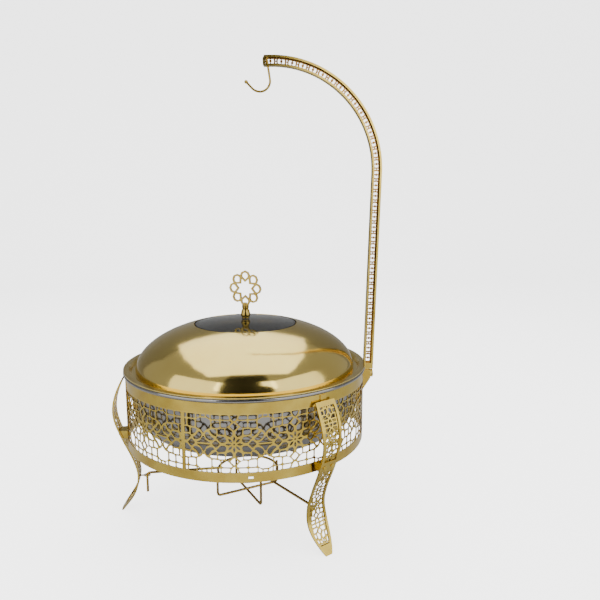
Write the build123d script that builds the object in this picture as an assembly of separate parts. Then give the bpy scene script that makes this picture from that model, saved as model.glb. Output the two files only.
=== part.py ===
from build123d import *
from math import asin, cos, degrees, pi, radians, sin, sqrt
import os

# Round chafing dish on a three-legged openwork stand, with a hooked arm that the lid hangs from.
# Millimetres. +Z is up and z = 0 is the table. The dish axis is the Z axis, and the arm is at +X.

# ---- stand: openwork basket ring ----
BASKET_R = 187.3            # outer radius of the sheet ring
BASKET_SHEET = 1.5
BASKET_BOTTOM = 121.5       # height of the ring's lower edge above the table
BOTTOM_BAND = 13.0          # plain band under the openwork
OPENWORK = 80.5             # height of the openwork
TOP_BAND = 14.7             # plain band over the openwork
SEAM_WIDTH = 5.0
BAND_SLOT = (6.5, 3.5)      # small drain slot in the bottom band: width, height
BAND_SLOT_AZIMUTH = -92.0

# ---- stand: legs ----
LEG_AZIMUTHS = (-60.0, 60.0, 180.0)
LEG_THICK = 2.5
LEG_RIM = 4.0               # raised plain rim round the leg's openwork
LEG_FRET_THICK = 1.4
LEG_TOP_MARGIN = 6.0
LEG_TIP_MARGIN = 12.0
LEG_PLATE = 17.0            # height of the solid cross plate with the two screws
LEG_TOP_RISE = 6.0          # top of a leg over the openwork
LEG_DRAWN = 221.0           # height of the leg that the next two lists draw, before it is stretched
# outer face of a leg: (distance outside the basket ring, height)
LEG_PROFILE = [(4.5, 221), (15.5, 198), (21, 176), (20.8, 157), (15.9, 139), (8.4, 119), (0.5, 101.5),
               (-6.8, 83.5), (-11.8, 65), (-11.3, 49), (-6.5, 34.5), (2.5, 19), (12, 7), (16.7, -1)]
# half width of a leg at each height
LEG_OUTLINE = [(221, 16.5), (199, 17.2), (165, 15.8), (130, 14.2), (107, 13.7), (85, 13.8), (62, 15.8),
               (45, 17.5), (29, 16.6), (14, 12.6), (4, 8.0), (-1, 5.0)]

# ---- fasteners ----
SCREW_R = 1.5
SCREW_HEAD_R = 2.9
SCREW_HEAD = 1.6
LEG_SCREW_SPREAD = 7.0      # each side of the leg's centre line
NUT_R = 2.8
NUT = 2.4
CLIP_WIDTH = 10.0
CLIP_SHEET = 1.4

# ---- fuel cradle, bent from round wire ----
WIRE_R = 2.0
HOOP_R = 49.0
HOOP_Z = 54.0
CRADLE_BOTTOM = 14.5        # centre line of the lower cross wire
CROSS_AZIMUTHS = (-71.0, 19.0)
STAY_END_R = BASKET_R - 25.3    # centre line of the turned-down tails
STAY_TAIL = 32.0
WIRE_BEND = 5.0
EYE_WIRE_R = 1.2
EYE_CLEARANCE = 1.0
CRADLE_GAP = 0.6            # stay over the eye it rests on

# ---- food pan ----
RIM_OVERHANG = 2.7          # the pan's rim stands this far outside the ring it rests on
PAN_R = BASKET_R + RIM_OVERHANG
PAN_SHEET = 1.2
PAN_MOUTH_R = PAN_R - 9.0
PAN_FLOOR_CORNER_R = PAN_MOUTH_R - 9.0
PAN_DEPTH = 100.0
PAN_CORNER = 52.0
PAN_ROLL_R = 3.0
PAN_MOUTH_BEND = 3.0
SEAT_GAP = 0.3              # between faces of different bodies that rest on each other

# ---- lid ----
LID_R = PAN_R - 0.4
LID_SHEET = 1.2
LID_LIP_INNER_R = LID_R - 8.1
LID_GROOVE_R = LID_LIP_INNER_R - 4.0
LID_GROOVE_DEPTH = 5.7
DOME_R = LID_GROOVE_R - 5.5
DOME_SHOULDER_R = 81.0      # where the dome steps down for the window
DOME_RISE = 68.2            # from the groove to that shoulder
LEDGE_DROP = 5.6
LEDGE_WIDTH = 5.0
WINDOW_FIT = 2.0            # glass edge to the dome's shoulder
WINDOW_R = DOME_SHOULDER_R - WINDOW_FIT
WINDOW_THICK = 4.0
WINDOW_CROWN = 6.4
WINDOW_ABOVE_LEDGE = 1.4    # underside of the glass edge over the ledge: the gasket's thickness

# ---- knob ----
KNOB_SCREW_R = 2.5
KNOB_HOLE_CLEARANCE = 0.5
WASHER_R = 6.0
WASHER = 1.0
KNOB_FOOT_R = 5.8
KNOB_BELLY_R = 7.4
KNOB_NECK_R = 4.5
KNOB_HEIGHT = 21.6
KNOB_BEADS = 3              # rings round the neck
ROSETTE_THICK = 2.4
ROSETTE_LINE = 3.0
ROSETTE_TAB = (4.6, 7.0)    # width and depth of the tab let into the neck
ROSETTE_YAW = -31.0
PETALS = 8
# half of a petal's outline: (distance from the rosette's centre, half width)
PETAL_HALF = [(10.2, 0.0), (16.6, 7.6), (21.4, 8.4), (26.0, 5.9), (28.4, 0.0)]

# ---- arm ----
ARM_BASE_R = BASKET_R + 22.2    # outer edge of the arm at the socket's mouth
ARM_LEAN = 1.6
ARM_WIDTH = 15.3
ARM_THICK = 9.5
OUTER_RAIL = 3.2
INNER_RAIL = 2.4
ARM_FRET_THICK = 1.2
ARM_STRAIGHT = 319.5
ARM_ARCH_R = 166.5          # outer radius of the arch
ARM_DIP = 3.5               # the arch runs this far past level
ARM_END_RUN = 8.0
ARM_CAP = 3.0
FOOT_DEPTH = 13.7           # length of the arm's foot inside the socket
FOOT_STEP = 7.5             # the foot is set back from the arm's outer edge by this much
FOOT_COLLAR = (1.0, 11.0)   # the full-width collar of the foot: from, to, over the socket's mouth
RAIL_START = 3.0

# ---- hook ----
HOOK_WIRE_R = 1.7
HOOK_BEND = 16.0
HOOK_SHANK = 30.6
HOOK_SHANK_TILT = 9.0
HOOK_TAIL = 12.4
HOOK_TAIL_RISE = 45.0
HOOK_INSET = 5.9            # shank behind the arm's end face
BALL_R = 2.8

# ---- arm socket and its thumbscrew ----
SOCKET_WALL_OUT = 2.5
SOCKET_WALL_SIDE = 1.95
SOCKET_STRAIGHT = 14.0      # height of the vertical outer wall
SOCKET_DROP = 38.0          # mouth to lowest point
SOCKET_FIT = 0.3
FLANGE = 1.6
SOCKET_HALF = ARM_THICK / 2 + SOCKET_FIT + SOCKET_WALL_SIDE
SCREW_TO_SOCKET = 2.6       # side wall to the screws' centre line
SCREW_TO_EDGE = 3.4
FLANGE_SCREW_SPREAD = SOCKET_HALF + SCREW_TO_SOCKET
MOUNT_STRIP_WIDTH = 2 * (FLANGE_SCREW_SPREAD + SCREW_TO_EDGE)   # wide seam strip behind the flange
FLANGE_SCREW_DROP = 19.0
THUMB_R = 6.4
THUMB_HEAD = 4.6
THUMB_SHANK_R = 2.0
THUMB_CLEARANCE = 0.05
THUMB_DROP = 7.0            # under the socket's mouth
THUMB_FLUTES = 12

# ---- heights that follow from the above ----
OPENWORK_BOTTOM = BASKET_BOTTOM + BOTTOM_BAND
OPENWORK_TOP = OPENWORK_BOTTOM + OPENWORK
BASKET_TOP = OPENWORK_TOP + TOP_BAND
BASKET_INNER_R = BASKET_R - BASKET_SHEET
PAN_TOP = BASKET_TOP + SEAT_GAP + 2 * PAN_ROLL_R
LID_LIP_TOP = PAN_TOP + SEAT_GAP + LID_SHEET
GROOVE_TOP = LID_LIP_TOP - LID_GROOVE_DEPTH
LEDGE_TOP = GROOVE_TOP + DOME_RISE - LEDGE_DROP
WINDOW_EDGE_TOP = LEDGE_TOP + WINDOW_ABOVE_LEDGE + WINDOW_THICK
WINDOW_TOP = WINDOW_EDGE_TOP + WINDOW_CROWN
KNOB_BOTTOM = WINDOW_TOP + WASHER + SEAT_GAP
ROSETTE_R = PETAL_HALF[-1][0]
ROSETTE_Z = KNOB_BOTTOM + KNOB_HEIGHT + ROSETTE_R - ROSETTE_LINE
SOCKET_TOP = OPENWORK_TOP
LEG_TOP = OPENWORK_TOP + LEG_TOP_RISE
LEG_STRETCH = LEG_TOP / LEG_DRAWN
LEG_PLATE_MID = OPENWORK_BOTTOM - BOTTOM_BAND / 2 + 1.5


def turned(points):
    """Solid of revolution from a closed (radius, height) outline."""
    outline = Polyline(*points, close=True)
    return revolve(Plane.XZ * make_face(outline), Axis.Z)


def ring(inner, outer, low, high):
    return turned([(inner, low), (outer, low), (outer, high), (inner, high)])


def ring_sector(inner, outer, low, high, start, end):
    """Part of a ring between two azimuths in degrees."""
    section = Polyline((inner, low), (outer, low), (outer, high), (inner, high), close=True)
    swept = revolve(Plane.XZ * make_face(section), Axis.Z, revolution_arc=end - start)
    return swept.rotate(Axis.Z, start)


def block(x, y, z):
    """Box from (low, high) pairs along X, Y and Z."""
    size = [b - a for a, b in (x, y, z)]
    middle = [(a + b) / 2 for a, b in (x, y, z)]
    return Pos(*middle) * Box(*size)


def rod_x(radius, start, end, y, z):
    """Round bar along X."""
    return Pos((start + end) / 2, y, z) * Rot(0, 90, 0) * Cylinder(radius, end - start)


def at_legs(solid):
    return [solid.rotate(Axis.Z, azimuth) for azimuth in LEG_AZIMUTHS]


def swept_wire(path, radius):
    """Round wire along a path drawn in the XY plane, with the wire's height as Y."""
    start = Plane(origin=path @ 0, z_dir=path % 0)
    return sweep(start * Circle(radius), path=path).rotate(Axis.X, 90)


# ---------------------------------------------------------------- basket ring

def make_top_band():
    return ring(BASKET_INNER_R, BASKET_R, OPENWORK_TOP, BASKET_TOP)


def make_bottom_band():
    band = ring(BASKET_INNER_R, BASKET_R, BASKET_BOTTOM, OPENWORK_BOTTOM)
    width, height = BAND_SLOT
    middle = (BASKET_BOTTOM + OPENWORK_BOTTOM) / 2
    reach = (BASKET_INNER_R - 5, BASKET_R + 5)
    slot = block(reach, (-width / 2, width / 2), (middle - height / 2, middle + height / 2))
    return band - slot.rotate(Axis.Z, BAND_SLOT_AZIMUTH)


def seam_half_angle(width):
    return degrees(asin(width / 2 / BASKET_R))


def make_seam_strip(azimuth, width):
    half = seam_half_angle(width)
    return ring_sector(BASKET_INNER_R, BASKET_R, OPENWORK_BOTTOM, OPENWORK_TOP,
                       azimuth - half, azimuth + half)


def make_panel(leg_azimuth):
    """Openwork sheet behind one leg, from seam to seam."""
    seams = []
    for azimuth in (leg_azimuth - 60, leg_azimuth + 60):
        width = MOUNT_STRIP_WIDTH if azimuth % 360 == 0 else SEAM_WIDTH
        seams.append(seam_half_angle(width))
    return ring_sector(BASKET_INNER_R, BASKET_R, OPENWORK_BOTTOM, OPENWORK_TOP,
                       leg_azimuth - 60 + seams[0], leg_azimuth + 60 - seams[1])


# ---------------------------------------------------------------- legs (made along +X)

def leg_slab(front, back):
    """Curved slab of a leg's whole width, between two distances outside its outer face."""
    outer = Spline(*[(BASKET_R + out, z * LEG_STRETCH) for out, z in LEG_PROFILE])
    count = len(LEG_PROFILE)
    sides = []
    for depth in (front, back):
        points = []
        for i in range(count):
            place, along = outer.position_at(i / (count - 1)), outer.tangent_at(i / (count - 1))
            points.append((place.X - along.Y * depth, place.Y + along.X * depth))
        sides.append(Spline(*points))
    ends = [Line(sides[0] @ t, sides[1] @ t) for t in (0, 1)]
    face = Plane.XZ * make_face([*sides, *ends])
    return extrude(face, 30, both=True)


def leg_outline(inset, low, high):
    """Front view of a leg, inset from its edge, between two heights, as a block along X."""
    right = Spline(*[(half - inset, z * LEG_STRETCH) for z, half in LEG_OUTLINE])
    left = Spline(*[(inset - half, z * LEG_STRETCH) for z, half in LEG_OUTLINE])
    face = make_face([right, left, Line(right @ 0, left @ 0), Line(right @ 1, left @ 1)])
    solid = extrude(Plane.YZ * face, BASKET_R + 60)
    return solid & block((BASKET_R - 60, BASKET_R + 60), (-40, 40), (low, high))


def leg_windows():
    """The two openings of a leg: above and below the cross plate."""
    top = LEG_TOP - LEG_TOP_MARGIN
    plate = (LEG_PLATE_MID - LEG_PLATE / 2, LEG_PLATE_MID + LEG_PLATE / 2)
    return leg_outline(LEG_RIM, plate[1], top), leg_outline(LEG_RIM, LEG_TIP_MARGIN, plate[0])


def leg_screw_bores():
    bores = [rod_x(SCREW_R, BASKET_R - 30, BASKET_R + 40, side * LEG_SCREW_SPREAD, LEG_PLATE_MID)
             for side in (-1, 1)]
    return bores[0] + bores[1]


def make_leg():
    """Frame and the two openwork fillings of one leg."""
    upper, lower = leg_windows()
    whole = leg_slab(0, -LEG_THICK) & leg_outline(0, 0, LEG_TOP + 1)
    frame = whole - upper - lower - leg_screw_bores()
    fret = leg_slab(LEG_FRET_THICK - LEG_THICK, -LEG_THICK)
    return frame, fret & upper, fret & lower


def make_leg_bracket(leg):
    """Spacer between the bottom band and the leg's cross plate."""
    low = BASKET_BOTTOM + 1
    solid = block((BASKET_R - 3, BASKET_R + 20), (-11, 11), (low, OPENWORK_BOTTOM))
    solid -= Cylinder(BASKET_R, 800)
    cut = solid - leg_slab(30, -LEG_THICK) - leg_screw_bores()
    return cut.solids().sort_by(Axis.X)[0]


def make_leg_clip():
    """Angle that holds the top of a leg to the top band."""
    top = LEG_TOP - 1.0
    half = CLIP_WIDTH / 2
    tab = block((BASKET_R - 3, BASKET_R + CLIP_SHEET), (-half, half), (OPENWORK_TOP + 1, BASKET_TOP - 1.5))
    shelf = block((BASKET_R - 3, BASKET_R + 12), (-half, half), (top - CLIP_SHEET, top))
    clip = tab + shelf - Cylinder(BASKET_R, 800) - leg_slab(30, -LEG_THICK)
    return clip.solids().sort_by(Axis.X)[0]


def make_leg_screw(side):
    y = side * LEG_SCREW_SPREAD
    bore_in = BASKET_INNER_R - NUT
    face = leg_face_radius(LEG_PLATE_MID)
    shank = rod_x(SCREW_R, bore_in, face, y, LEG_PLATE_MID)
    head = rod_x(SCREW_HEAD_R, face - 3, face + SCREW_HEAD, y, LEG_PLATE_MID)
    head -= leg_slab(0, -30)
    return shank + head


def leg_face_radius(height):
    """Radius of a leg's outer face at one height."""
    face = leg_slab(0, -LEG_THICK) & block((0, BASKET_R + 60), (-1, 1), (height - 0.01, height + 0.01))
    return face.bounding_box().max.X


def make_leg_nut(side):
    y = side * LEG_SCREW_SPREAD
    nut = rod_x(NUT_R, BASKET_INNER_R - NUT, BASKET_INNER_R + 2, y, LEG_PLATE_MID)
    nut -= ring(BASKET_INNER_R, BASKET_R + 5, BASKET_BOTTOM - 5, OPENWORK_TOP)
    return nut - rod_x(SCREW_R, BASKET_INNER_R - 20, BASKET_R + 5, y, LEG_PLATE_MID)


def make_eyelet():
    """Ring on a leg's inner face that a cradle stay hooks through."""
    ring_r = WIRE_R + EYE_CLEARANCE + EYE_WIRE_R
    z = HOOP_Z + WIRE_R - CRADLE_GAP - EYE_WIRE_R
    eye = Pos(STAY_END_R, 0, z) * Torus(ring_r, EYE_WIRE_R)
    stem = rod_x(EYE_WIRE_R, STAY_END_R + ring_r, BASKET_R, 0, z)
    cut = eye + stem - leg_slab(30, -LEG_THICK)
    return cut.solids().sort_by(Axis.X)[0]


# ---------------------------------------------------------------- fuel cradle

def make_hoop():
    return Pos(0, 0, HOOP_Z) * Torus(HOOP_R, WIRE_R)


def make_cross_wire(azimuth, bottom):
    reach = HOOP_R + 2 * WIRE_R
    top = HOOP_Z + WIRE_R
    corners = [(-reach, top), (-reach, bottom), (reach, bottom), (reach, top)]
    path = FilletPolyline(*corners, radius=WIRE_BEND)
    return swept_wire(path, WIRE_R).rotate(Axis.Z, azimuth)


def make_stay(azimuth):
    z = HOOP_Z + 2 * WIRE_R
    corners = [(HOOP_R - 4, z), (STAY_END_R, z), (STAY_END_R, z - STAY_TAIL)]
    path = FilletPolyline(*corners, radius=WIRE_BEND)
    return swept_wire(path, WIRE_R).rotate(Axis.Z, azimuth)


# ---------------------------------------------------------------- food pan and lid

def make_pan():
    """Pressed pan with a flat lip and a rolled edge."""
    floor = PAN_TOP - PAN_DEPTH
    roll_r = PAN_R - PAN_ROLL_R
    slope = (PAN_MOUTH_R - PAN_FLOOR_CORNER_R) / PAN_DEPTH
    side = PAN_SHEET * sqrt(1 + slope ** 2)
    under = PAN_TOP - PAN_SHEET
    inside = FilletPolyline((0, floor), (PAN_FLOOR_CORNER_R, floor), (PAN_MOUTH_R, PAN_TOP),
                            (roll_r, PAN_TOP), radius=[PAN_CORNER, PAN_MOUTH_BEND])
    outside = FilletPolyline((0, floor - PAN_SHEET),
                             (PAN_FLOOR_CORNER_R + side - slope * PAN_SHEET, floor - PAN_SHEET),
                             (PAN_MOUTH_R + side - slope * PAN_SHEET, under), (roll_r, under),
                             radius=[PAN_CORNER + PAN_SHEET, PAN_MOUTH_BEND - PAN_SHEET])
    middle = PAN_TOP - PAN_ROLL_R
    low = PAN_TOP - 2 * PAN_ROLL_R
    outer_roll = ThreePointArc((roll_r, PAN_TOP), (PAN_R, middle), (roll_r, low))
    inner_roll = ThreePointArc((roll_r, under), (PAN_R - PAN_SHEET, middle), (roll_r, low + PAN_SHEET))
    edges = [inside, outer_roll, Line((roll_r, low), (roll_r, low + PAN_SHEET)), inner_roll, outside,
             Line((0, floor), (0, floor - PAN_SHEET))]
    return revolve(Plane.XZ * make_face(edges), Axis.Z)


def dome_curve(offset, start_z, end_r):
    """Elliptical dome section, from a height near its base up to a radius."""
    rise = DOME_RISE / sqrt(1 - (DOME_SHOULDER_R / DOME_R) ** 2)
    a, b = DOME_R - offset, rise - offset
    first = asin(max(start_z - GROOVE_TOP, 0) / b)
    last = pi / 2 - asin(end_r / a)
    angles = [first + (last - first) * i / 10 for i in range(11)]
    return Spline(*[(a * cos(t), GROOVE_TOP + b * sin(t)) for t in angles])


def make_lid_shell():
    """Domed lid with a lip, a groove inside the lip, and a stepped seat for the window."""
    lip_under = LID_LIP_TOP - LID_SHEET
    ledge_r = DOME_SHOULDER_R - 1 - LEDGE_WIDTH
    outer = dome_curve(0, GROOVE_TOP, DOME_SHOULDER_R)
    inner = dome_curve(LID_SHEET, GROOVE_TOP, DOME_SHOULDER_R + 1.4)
    ledge_under = LEDGE_TOP - LID_SHEET
    groove_under = GROOVE_TOP - LID_SHEET
    seat = Polyline(outer @ 1, (DOME_SHOULDER_R - 1, LEDGE_TOP), (ledge_r, LEDGE_TOP),
                    (ledge_r, ledge_under), (DOME_SHOULDER_R + 0.4, ledge_under), inner @ 1)
    lip = Polyline(outer @ 0, (LID_GROOVE_R, GROOVE_TOP), (LID_LIP_INNER_R, LID_LIP_TOP),
                   (LID_R, LID_LIP_TOP), (LID_R, lip_under), (LID_LIP_INNER_R - 0.5, lip_under),
                   (LID_GROOVE_R - 0.5, groove_under), (DOME_R - 1.5, groove_under), inner @ 0)
    return revolve(Plane.XZ * make_face([outer, inner, seat, lip]), Axis.Z)


def make_window():
    """Crowned glass disc with a hole for the knob's screw."""
    ball_r = (WINDOW_R ** 2 + WINDOW_CROWN ** 2) / (2 * WINDOW_CROWN)
    top = Pos(0, 0, WINDOW_TOP - ball_r) * Sphere(ball_r)
    under = Pos(0, 0, WINDOW_TOP - WINDOW_THICK - ball_r) * Sphere(ball_r)
    disc = Pos(0, 0, WINDOW_TOP) * Cylinder(WINDOW_R, 4 * (WINDOW_CROWN + WINDOW_THICK))
    hole = Cylinder(KNOB_SCREW_R + KNOB_HOLE_CLEARANCE, 1000)
    return (disc & top) - under - hole


def make_gasket(window):
    """Rubber ring between the glass and its ledge."""
    inner = DOME_SHOULDER_R - 1 - LEDGE_WIDTH
    blank = ring(inner, WINDOW_R, LEDGE_TOP, LEDGE_TOP + WINDOW_ABOVE_LEDGE + 2)
    return (blank - window).solids().sort_by(Axis.Z)[0]


def washer(low):
    return ring(KNOB_SCREW_R + KNOB_HOLE_CLEARANCE, WASHER_R, low, low + WASHER)


# ---------------------------------------------------------------- knob

def make_knob_base():
    """Turned foot with a rounded belly and a ringed neck, slotted for the rosette's tab."""
    z0 = KNOB_BOTTOM
    rise = KNOB_HEIGHT
    side = Spline((KNOB_FOOT_R, z0 + 0.06 * rise), (KNOB_BELLY_R, z0 + 0.2 * rise),
                  (KNOB_BELLY_R * 0.97, z0 + 0.38 * rise), (KNOB_BELLY_R * 0.83, z0 + 0.56 * rise),
                  (KNOB_NECK_R, z0 + 0.72 * rise))
    edges = [Polyline((0, z0 + rise), (0, z0), (KNOB_FOOT_R, z0), side @ 0), side]
    bead = 0.08 * rise
    for i in range(KNOB_BEADS):
        low = z0 + 0.72 * rise + i * bead
        crest = (KNOB_NECK_R * 1.25, low + bead / 2)
        edges.append(ThreePointArc((KNOB_NECK_R, low), crest, (KNOB_NECK_R, low + bead)))
    edges.append(Polyline((KNOB_NECK_R, low + bead), (KNOB_NECK_R, z0 + rise), (0, z0 + rise)))
    body = revolve(Plane.XZ * make_face(edges), Axis.Z)
    thread = Pos(0, 0, z0) * Cylinder(KNOB_SCREW_R, 24)
    return body - thread - make_rosette()


def rosette_tab():
    width, depth = ROSETTE_TAB
    top = KNOB_BOTTOM + KNOB_HEIGHT
    half = ROSETTE_THICK / 2
    tab = block((-width / 2, width / 2), (-half, half), (top - depth, top + ROSETTE_LINE))
    return tab.rotate(Axis.Z, ROSETTE_YAW)


def petal_outline(inset):
    right = [(half, along) for along, half in PETAL_HALF]
    left = [(-half, along) for along, half in PETAL_HALF[-2:0:-1]]
    face = make_face(Polyline(*right, *left, close=True))
    return offset(face, -inset, kind=Kind.INTERSECTION) if inset else face


def make_rosette():
    """Flat rosette of eight outlined petals round an open star."""
    outer, inner = petal_outline(0), petal_outline(ROSETTE_LINE)
    plate = Sketch()
    for i in range(PETALS):
        plate += outer.rotate(Axis.Z, i * 360 / PETALS)
    for i in range(PETALS):
        plate -= inner.rotate(Axis.Z, i * 360 / PETALS)
    solid = extrude(Plane.XZ * plate, ROSETTE_THICK / 2, both=True)
    solid = (Pos(0, 0, ROSETTE_Z) * solid).rotate(Axis.Z, ROSETTE_YAW)
    return solid + rosette_tab()


def make_knob_screw(head_top):
    head = Pos(0, 0, head_top - 1.5) * Cylinder(KNOB_SCREW_R * 1.8, 3)
    length = KNOB_BOTTOM + 12 - head_top
    return head + Pos(0, 0, head_top + length / 2) * Cylinder(KNOB_SCREW_R, length)


# ---------------------------------------------------------------- arm (drawn upright, then leaned)

ARCH_SWEEP = 90 + ARM_LEAN + ARM_DIP


def lean(solid):
    """From the arm's upright drawing frame to its place in the socket."""
    return Pos(ARM_BASE_R, 0, SOCKET_TOP) * solid.rotate(Axis.Y, ARM_LEAN)


def arm_path_point(inset, run):
    """Point on the arm's last straight, inset from its outer edge, this far past the arch."""
    turn = radians(ARCH_SWEEP)
    radius = ARM_ARCH_R - inset
    x = radius * cos(turn) - ARM_ARCH_R - run * sin(turn)
    return x, ARM_STRAIGHT + radius * sin(turn) + run * cos(turn)


def arm_strip(near, far, thickness, start, end_run):
    """Curved bar of the arm between two insets from its outer edge."""
    half_turn = radians(ARCH_SWEEP / 2)
    lines = []
    for inset in (near, far):
        radius = ARM_ARCH_R - inset
        middle = (radius * cos(half_turn) - ARM_ARCH_R, ARM_STRAIGHT + radius * sin(half_turn))
        arch_end = arm_path_point(inset, 0)
        lines += [Line((-inset, start), (-inset, ARM_STRAIGHT)),
                  ThreePointArc((-inset, ARM_STRAIGHT), middle, arch_end),
                  Line(arch_end, arm_path_point(inset, end_run))]
    lines.append(Line((-near, start), (-far, start)))
    lines.append(Line(arm_path_point(near, end_run), arm_path_point(far, end_run)))
    return extrude(Plane.XZ * make_face(lines), thickness / 2, both=True)


def make_arm_foot():
    """Block in the socket, stepping out to a collar that carries the outer rail."""
    half = ARM_THICK / 2
    low, high = FOOT_COLLAR
    inner = INNER_RAIL - ARM_WIDTH
    tongue = block((inner, -FOOT_STEP), (-half, half), (-FOOT_DEPTH, high))
    collar = block((inner, -OUTER_RAIL), (-half, half), (low, high))
    toe = block((-OUTER_RAIL - 0.1, 0), (-half, half), (low, RAIL_START))
    return lean(tongue + collar + toe)


def make_arm_cap():
    """Rounded end that closes the rails."""
    shoulder = ARM_END_RUN + ARM_CAP * 0.4
    tip = ARM_END_RUN + ARM_CAP
    corners = [arm_path_point(inset, run) for inset, run in
               ((0, ARM_END_RUN), (0, shoulder), (ARM_WIDTH * 0.2, tip),
                (ARM_WIDTH * 0.8, tip), (ARM_WIDTH, shoulder), (ARM_WIDTH, ARM_END_RUN))]
    return lean(extrude(Plane.XZ * make_face(Polyline(*corners, close=True)), ARM_THICK / 2, both=True))


def hook_start():
    """Where the hook's shank meets the outer rail from within, in the model's own frame."""
    x, z = arm_path_point(OUTER_RAIL + HOOK_WIRE_R * sin(radians(HOOK_SHANK_TILT - ARM_DIP)),
                          ARM_END_RUN - HOOK_INSET + ARM_CAP)
    turn = radians(ARM_LEAN)
    return (ARM_BASE_R + x * cos(turn) + z * sin(turn), SOCKET_TOP + z * cos(turn) - x * sin(turn))


def hook_path():
    tilt = radians(HOOK_SHANK_TILT)
    start = Vector(*hook_start())
    heading = Vector(sin(tilt), -cos(tilt))
    shank = Line(start, start + heading * HOOK_SHANK)
    bend = JernArc(shank @ 1, heading, HOOK_BEND, HOOK_TAIL_RISE - HOOK_SHANK_TILT - 180)
    tail = Line(bend @ 1, bend @ 1 + (bend % 1) * HOOK_TAIL)
    return shank + bend + tail


def make_hook():
    return swept_wire(hook_path(), HOOK_WIRE_R)


def make_hook_ball():
    tip = hook_path() @ 1
    return Pos(tip.X, 0, tip.Y) * Sphere(BALL_R) - make_hook()


# ---------------------------------------------------------------- socket

def pocket():
    """Space for the arm's foot, with its fit."""
    half = ARM_THICK / 2 + SOCKET_FIT
    return lean(block((-ARM_WIDTH - SOCKET_FIT, SOCKET_FIT - FOOT_STEP), (-half, half),
                      (-FOOT_DEPTH - SOCKET_FIT, 40)))


def socket_outer_r():
    return ARM_BASE_R - FOOT_STEP + SOCKET_FIT + SOCKET_WALL_OUT


def make_socket():
    """Tapered pocket on a flange, screwed to the wide seam strip."""
    out = socket_outer_r()
    low = SOCKET_TOP - SOCKET_DROP
    side = Polyline((BASKET_R - 5, SOCKET_TOP), (out, SOCKET_TOP), (out, SOCKET_TOP - SOCKET_STRAIGHT),
                    (BASKET_R + FLANGE, low), (BASKET_R - 5, low), close=True)
    body = extrude(Plane.XZ * make_face(side), SOCKET_HALF, both=True)
    flange_half = MOUNT_STRIP_WIDTH / 2
    body += block((BASKET_R - 5, BASKET_R + FLANGE), (-flange_half, flange_half), (low, SOCKET_TOP))
    body -= Cylinder(BASKET_R, 800)
    body -= pocket()
    body -= rod_x(THUMB_SHANK_R + THUMB_CLEARANCE, out - 8, out + 5, 0, SOCKET_TOP - THUMB_DROP)
    for side_sign in (-1, 1):
        body -= rod_x(SCREW_R, BASKET_R - 10, BASKET_R + 20, side_sign * FLANGE_SCREW_SPREAD,
                      SOCKET_TOP - FLANGE_SCREW_DROP)
    return body


def make_socket_screw(side):
    y, z = side * FLANGE_SCREW_SPREAD, SOCKET_TOP - FLANGE_SCREW_DROP
    face = BASKET_R + FLANGE
    head = rod_x(SCREW_HEAD_R * 0.85, face, face + SCREW_HEAD, y, z)
    return rod_x(SCREW_R, BASKET_INNER_R - NUT, face, y, z) + head


def make_socket_nut(side):
    y, z = side * FLANGE_SCREW_SPREAD, SOCKET_TOP - FLANGE_SCREW_DROP
    nut = rod_x(NUT_R, BASKET_INNER_R - NUT, BASKET_INNER_R + 2, y, z)
    nut -= ring(BASKET_INNER_R, BASKET_R + 5, z - 20, z + 20)
    return nut - rod_x(SCREW_R, BASKET_INNER_R - 20, BASKET_R + 5, y, z)


def make_thumbscrew():
    """Fluted thumbscrew that clamps the arm's foot, shown just released."""
    z = SOCKET_TOP - THUMB_DROP
    out = socket_outer_r()
    head_start = out + SEAT_GAP
    shank = rod_x(THUMB_SHANK_R, out - SOCKET_WALL_OUT + 0.1, head_start + 0.5, 0, z)
    head = rod_x(THUMB_R, head_start, head_start + THUMB_HEAD, 0, z)
    for i in range(THUMB_FLUTES):
        turn = 2 * pi * i / THUMB_FLUTES
        y, up = (THUMB_R + 0.35) * cos(turn), (THUMB_R + 0.35) * sin(turn)
        head -= rod_x(0.9, head_start - 1, head_start + THUMB_HEAD + 1, y, z + up)
    return head + shank


# ---------------------------------------------------------------- write every node

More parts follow.
